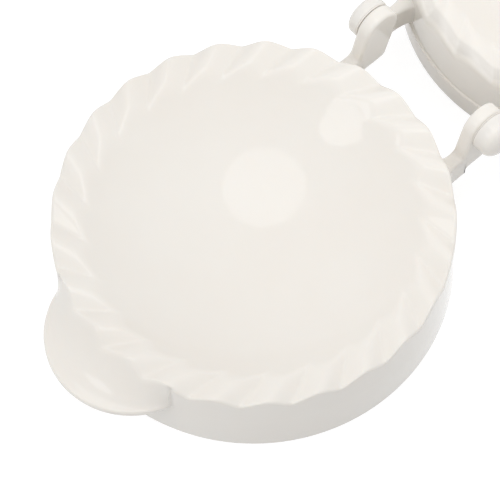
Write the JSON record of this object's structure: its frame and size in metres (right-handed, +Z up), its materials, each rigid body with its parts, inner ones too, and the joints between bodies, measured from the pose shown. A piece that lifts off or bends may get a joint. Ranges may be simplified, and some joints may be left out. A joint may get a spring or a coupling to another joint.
{
  "type": "empanada press",
  "caption": "Open hinged dough press: two round dished halves with fluted crimping rims, cutter skirts, thumb tabs and pinned hinge arms.",
  "frame": {"origin": "on the table under the middle of the hinge axis, with the press lying open and flat", "axes": "+X along the hinge axis, +Y from the front half to the rear half, +Z up"},
  "size_m": [0.12, 0.2892, 0.0361],
  "materials": {
    "white_plastic": "gloss moulded, slightly milky white",
    "pin_plastic": "satin moulded"
  },
  "bodies": {
    "front": {"front_half": "white_plastic"},
    "rear": {"rear_half": "white_plastic", "hinge_pin_left": "pin_plastic", "hinge_pin_right": "pin_plastic"}
  },
  "joints": [
    {"name": "press_hinge", "type": "hinge", "parent": "front", "child": "rear", "pos_m": [0, 0, 0.0295], "axis": [1, 0, 0], "range_deg": [0, 180]}
  ]
}
